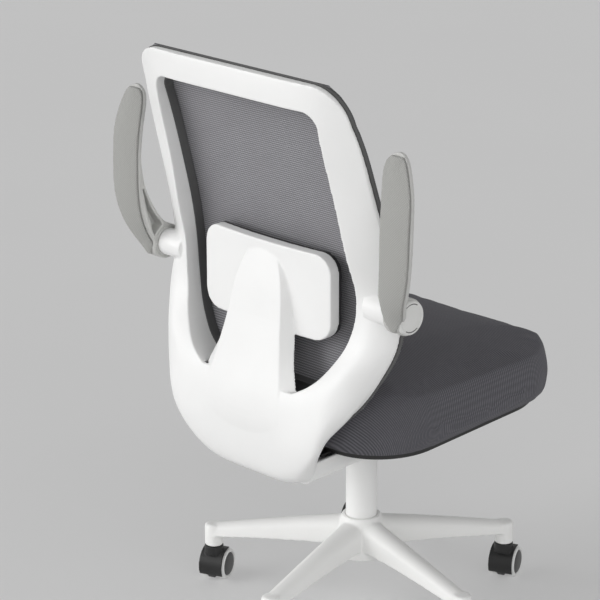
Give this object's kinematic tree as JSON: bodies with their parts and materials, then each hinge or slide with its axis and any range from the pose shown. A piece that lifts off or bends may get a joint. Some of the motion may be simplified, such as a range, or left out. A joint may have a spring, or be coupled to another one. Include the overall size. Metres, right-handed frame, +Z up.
{
  "type": "office chair",
  "caption": "White office chair with a mesh back in a moulded frame, flip-up arms, a ribbed dark seat, a gas lift and a castered star base.",
  "frame": {"origin": "on the floor under the column axis", "axes": "+Z up along the column, -Y the way the sitter looks, +X to the sitter's left"},
  "size_m": [0.6294, 0.5611, 0.9375],
  "materials": {
    "white_plastic": "smooth satin moulding",
    "white_metal": "satin white powder coat",
    "black_plastic": "fine moulded grain",
    "black_metal": "black powder coat",
    "steel": "turned and ground steel",
    "seat_fabric": "ribbed charcoal upholstery",
    "dark_plastic": "dark moulded ring",
    "mesh_fabric": "open ribbed mesh",
    "dark_fabric": "plain dark cover over foam",
    "grey_plastic": "light grey satin moulding",
    "pad_grey": "soft grey pad",
    "caster_black": "black moulded hood",
    "caster_tread": "white tread with a dark grey hubcap"
  },
  "bodies": {
    "base": {"base_star": "white_plastic", "lift_tube": "white_metal", "guide_bush": "black_plastic", "thrust_bearing": "steel", "lift_rod": "steel", "retaining_clip": "steel"},
    "lift": {"lift_cylinder": "steel"},
    "button": {"release_button": "steel"},
    "chassis": {"tilt_housing": "black_metal", "pivot_pin": "steel", "torsion_spring": "steel"},
    "knob": {"tension_knob": "black_plastic", "tension_screw": "steel"},
    "lever": {"lever_rod": "steel", "lever_paddle": "black_plastic"},
    "seat_back": {"tilt_plate": "black_metal", "seat_pan": "black_plastic", "seat_screws": "steel", "seat_cushion": "seat_fabric", "back_shell": "white_plastic", "back_bolts": "steel", "mesh_ring": "dark_plastic", "back_mesh": "mesh_fabric", "lumbar_pad": "dark_fabric", "left_arm_bolt": "steel", "right_arm_bolt": "steel"},
    "left_arm": {"left_arm_frame": "grey_plastic", "left_arm_pad": "pad_grey", "left_arm_cap": "grey_plastic"},
    "right_arm": {"right_arm_frame": "grey_plastic", "right_arm_pad": "pad_grey", "right_arm_cap": "grey_plastic"},
    "caster_1": {"caster_1_hood": "caster_black", "caster_1_stem": "steel", "caster_1_axle": "steel"},
    "caster_1_left": {"caster_1_left_wheel": "caster_tread"},
    "caster_1_right": {"caster_1_right_wheel": "caster_tread"},
    "caster_2": {"caster_2_hood": "caster_black", "caster_2_stem": "steel", "caster_2_axle": "steel"},
    "caster_2_left": {"caster_2_left_wheel": "caster_tread"},
    "caster_2_right": {"caster_2_right_wheel": "caster_tread"},
    "caster_3": {"caster_3_hood": "caster_black", "caster_3_stem": "steel", "caster_3_axle": "steel"},
    "caster_3_left": {"caster_3_left_wheel": "caster_tread"},
    "caster_3_right": {"caster_3_right_wheel": "caster_tread"},
    "caster_4": {"caster_4_hood": "caster_black", "caster_4_stem": "steel", "caster_4_axle": "steel"},
    "caster_4_left": {"caster_4_left_wheel": "caster_tread"},
    "caster_4_right": {"caster_4_right_wheel": "caster_tread"},
    "caster_5": {"caster_5_hood": "caster_black", "caster_5_stem": "steel", "caster_5_axle": "steel"},
    "caster_5_left": {"caster_5_left_wheel": "caster_tread"},
    "caster_5_right": {"caster_5_right_wheel": "caster_tread"}
  },
  "joints": [
    {"name": "lift_height", "type": "slide", "parent": "base", "child": "lift", "axis": [0, 0, 1], "range_m": [0, 0.09]},
    {"name": "release_press", "type": "slide", "parent": "lift", "child": "button", "axis": [0, 0, -1], "range_m": [0, 0.0045], "stiffness_N_per_m": 900, "springref_m": -0.002},
    {"name": "seat_swivel", "type": "hinge", "parent": "lift", "child": "chassis", "pos_m": [0, 0, 0.29], "axis": [0, 0, 1], "continuous": true},
    {"name": "tilt", "type": "hinge", "parent": "chassis", "child": "seat_back", "pos_m": [0, -0.035, 0.308], "axis": [-1, 0, 0], "range_deg": [0, 12], "stiffness_Nm_per_rad": 160, "springref_deg": -17.76},
    {"name": "tension_turn", "type": "hinge", "parent": "chassis", "child": "knob", "pos_m": [0, -0.088, 0.26], "axis": [0, 0, 1], "range_deg": [0, 720]},
    {"name": "lever_lift", "type": "hinge", "parent": "chassis", "child": "lever", "pos_m": [0.05, 0, 0.3133], "axis": [0, -1, 0], "range_deg": [0, 4.4], "stiffness_Nm_per_rad": 4, "springref_deg": -5.73},
    {"name": "left_arm_flip", "type": "hinge", "parent": "seat_back", "child": "left_arm", "pos_m": [0.2444, 0.189, 0.596], "axis": [1, 0, 0], "range_deg": [0, 90]},
    {"name": "right_arm_flip", "type": "hinge", "parent": "seat_back", "child": "right_arm", "pos_m": [-0.2444, 0.189, 0.596], "axis": [1, 0, 0], "range_deg": [0, 90]},
    {"name": "caster_1_swivel", "type": "hinge", "parent": "base", "child": "caster_1", "pos_m": [0.18055, -0.17436, 0.062], "axis": [0, 0, 1], "continuous": true},
    {"name": "caster_1_left_roll", "type": "hinge", "parent": "caster_1", "child": "caster_1_left", "pos_m": [0.18468, -0.18456, 0.025], "axis": [0.9272, 0.3746, 0], "continuous": true},
    {"name": "caster_1_right_roll", "type": "hinge", "parent": "caster_1", "child": "caster_1_right", "pos_m": [0.18468, -0.18456, 0.025], "axis": [0.9272, 0.3746, 0], "continuous": true},
    {"name": "caster_2_swivel", "type": "hinge", "parent": "base", "child": "caster_2", "pos_m": [0.22162, 0.11784, 0.062], "axis": [0, 0, 1], "continuous": true},
    {"name": "caster_2_left_roll", "type": "hinge", "parent": "caster_2", "child": "caster_2_left", "pos_m": [0.22574, 0.10764, 0.025], "axis": [0.9272, 0.3746, 0], "continuous": true},
    {"name": "caster_2_right_roll", "type": "hinge", "parent": "caster_2", "child": "caster_2_right", "pos_m": [0.22574, 0.10764, 0.025], "axis": [0.9272, 0.3746, 0], "continuous": true},
    {"name": "caster_3_swivel", "type": "hinge", "parent": "base", "child": "caster_3", "pos_m": [-0.04359, 0.24719, 0.062], "axis": [0, 0, 1], "continuous": true},
    {"name": "caster_3_left_roll", "type": "hinge", "parent": "caster_3", "child": "caster_3_left", "pos_m": [-0.03947, 0.23699, 0.025], "axis": [0.9272, 0.3746, 0], "continuous": true},
    {"name": "caster_3_right_roll", "type": "hinge", "parent": "caster_3", "child": "caster_3_right", "pos_m": [-0.03947, 0.23699, 0.025], "axis": [0.9272, 0.3746, 0], "continuous": true},
    {"name": "caster_4_swivel", "type": "hinge", "parent": "base", "child": "caster_4", "pos_m": [-0.24856, 0.03493, 0.062], "axis": [0, 0, 1], "continuous": true},
    {"name": "caster_4_left_roll", "type": "hinge", "parent": "caster_4", "child": "caster_4_left", "pos_m": [-0.24444, 0.02473, 0.025], "axis": [0.9272, 0.3746, 0], "continuous": true},
    {"name": "caster_4_right_roll", "type": "hinge", "parent": "caster_4", "child": "caster_4_right", "pos_m": [-0.24444, 0.02473, 0.025], "axis": [0.9272, 0.3746, 0], "continuous": true},
    {"name": "caster_5_swivel", "type": "hinge", "parent": "base", "child": "caster_5", "pos_m": [-0.11003, -0.2256, 0.062], "axis": [0, 0, 1], "continuous": true},
    {"name": "caster_5_left_roll", "type": "hinge", "parent": "caster_5", "child": "caster_5_left", "pos_m": [-0.10591, -0.2358, 0.025], "axis": [0.9272, 0.3746, 0], "continuous": true},
    {"name": "caster_5_right_roll", "type": "hinge", "parent": "caster_5", "child": "caster_5_right", "pos_m": [-0.10591, -0.2358, 0.025], "axis": [0.9272, 0.3746, 0], "continuous": true}
  ],
  "couplings": [
    {"joint": "release_press", "follows": "lever_lift", "m_per_rad": 0.05469}
  ]
}
